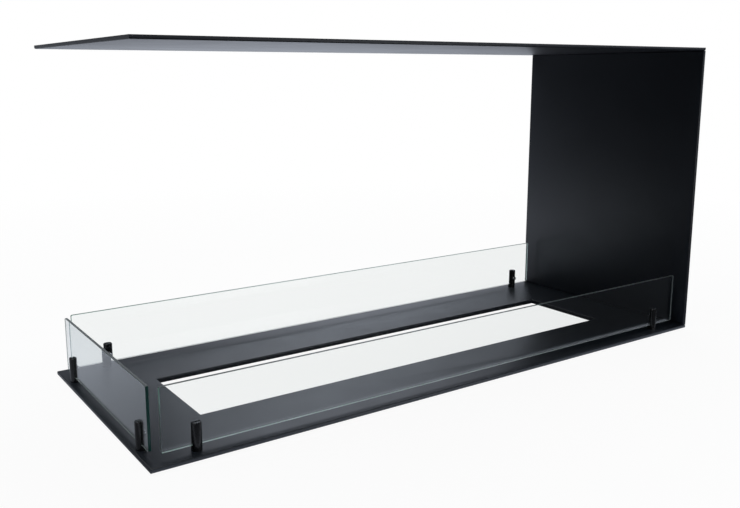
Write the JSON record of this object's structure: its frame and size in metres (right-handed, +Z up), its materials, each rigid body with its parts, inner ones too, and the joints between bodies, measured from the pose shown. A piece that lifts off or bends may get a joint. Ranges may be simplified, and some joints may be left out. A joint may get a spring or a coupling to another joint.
{
  "type": "bioethanol fireplace",
  "caption": "Open built-in bioethanol fireplace: folded steel base with a burner cut-out, one side wall, a cantilevered top and a low glass guard held in slotted posts.",
  "frame": {"origin": "centre of the base's rectangular outline, level with the lowest edge, which is the folded edge round the burner cut-out", "axes": "+X along the fireplace towards its side wall, -Y towards the viewer's side, +Z up"},
  "size_m": [1.02, 0.4, 0.5025],
  "materials": {
    "powder_coat": "satin black powder coat",
    "post_coat": "satin black",
    "screw_steel": "bright stainless steel",
    "guard_glass": "clear toughened glass with ground edges",
    "liner": "matt dark silicone"
  },
  "bodies": {
    "casing": {"base_tray": "powder_coat", "side_wall": "powder_coat", "top_tray": "powder_coat", "glass_post_front_left": "post_coat", "slot_liner_front_left": "liner", "fixing_screw_front_left": "screw_steel", "glass_post_front_right": "post_coat", "slot_liner_front_right": "liner", "fixing_screw_front_right": "screw_steel", "glass_post_back_left": "post_coat", "slot_liner_back_left": "liner", "fixing_screw_back_left": "screw_steel", "glass_post_back_right": "post_coat", "slot_liner_back_right": "liner", "fixing_screw_back_right": "screw_steel", "glass_post_side_front": "post_coat", "slot_liner_side_front": "liner", "fixing_screw_side_front": "screw_steel", "glass_post_side_back": "post_coat", "slot_liner_side_back": "liner", "fixing_screw_side_back": "screw_steel"},
    "front_pane": {"glass_front": "guard_glass"},
    "back_pane": {"glass_back": "guard_glass"},
    "side_pane": {"glass_side": "guard_glass"},
    "clamp_front_left": {"clamp_screw_front_left": "screw_steel"},
    "clamp_front_right": {"clamp_screw_front_right": "screw_steel"},
    "clamp_back_left": {"clamp_screw_back_left": "screw_steel"},
    "clamp_back_right": {"clamp_screw_back_right": "screw_steel"},
    "clamp_side_front": {"clamp_screw_side_front": "screw_steel"},
    "clamp_side_back": {"clamp_screw_side_back": "screw_steel"}
  },
  "joints": [
    {"name": "front_pane_lift", "type": "slide", "parent": "casing", "child": "front_pane", "axis": [0, 0, 1], "range_m": [0, 0.04]},
    {"name": "back_pane_lift", "type": "slide", "parent": "casing", "child": "back_pane", "axis": [0, 0, 1], "range_m": [0, 0.04]},
    {"name": "side_pane_lift", "type": "slide", "parent": "casing", "child": "side_pane", "axis": [0, 0, 1], "range_m": [0, 0.04]},
    {"name": "clamp_front_left_turn", "type": "hinge", "parent": "casing", "child": "clamp_front_left", "pos_m": [-0.443, -0.18, 0.0275], "axis": [0, 1, 0], "range_deg": [0, 360]},
    {"name": "clamp_front_right_turn", "type": "hinge", "parent": "casing", "child": "clamp_front_right", "pos_m": [0.439, -0.18, 0.0275], "axis": [0, 1, 0], "range_deg": [0, 360]},
    {"name": "clamp_back_left_turn", "type": "hinge", "parent": "casing", "child": "clamp_back_left", "pos_m": [-0.435, 0.18, 0.0275], "axis": [0, -1, 0], "range_deg": [0, 360]},
    {"name": "clamp_back_right_turn", "type": "hinge", "parent": "casing", "child": "clamp_back_right", "pos_m": [0.447, 0.18, 0.0275], "axis": [0, -1, 0], "range_deg": [0, 360]},
    {"name": "clamp_side_front_turn", "type": "hinge", "parent": "casing", "child": "clamp_side_front", "pos_m": [-0.499, -0.14, 0.0275], "axis": [1, 0, 0], "range_deg": [0, 360]},
    {"name": "clamp_side_back_turn", "type": "hinge", "parent": "casing", "child": "clamp_side_back", "pos_m": [-0.499, 0.14, 0.0275], "axis": [1, 0, 0], "range_deg": [0, 360]}
  ]
}
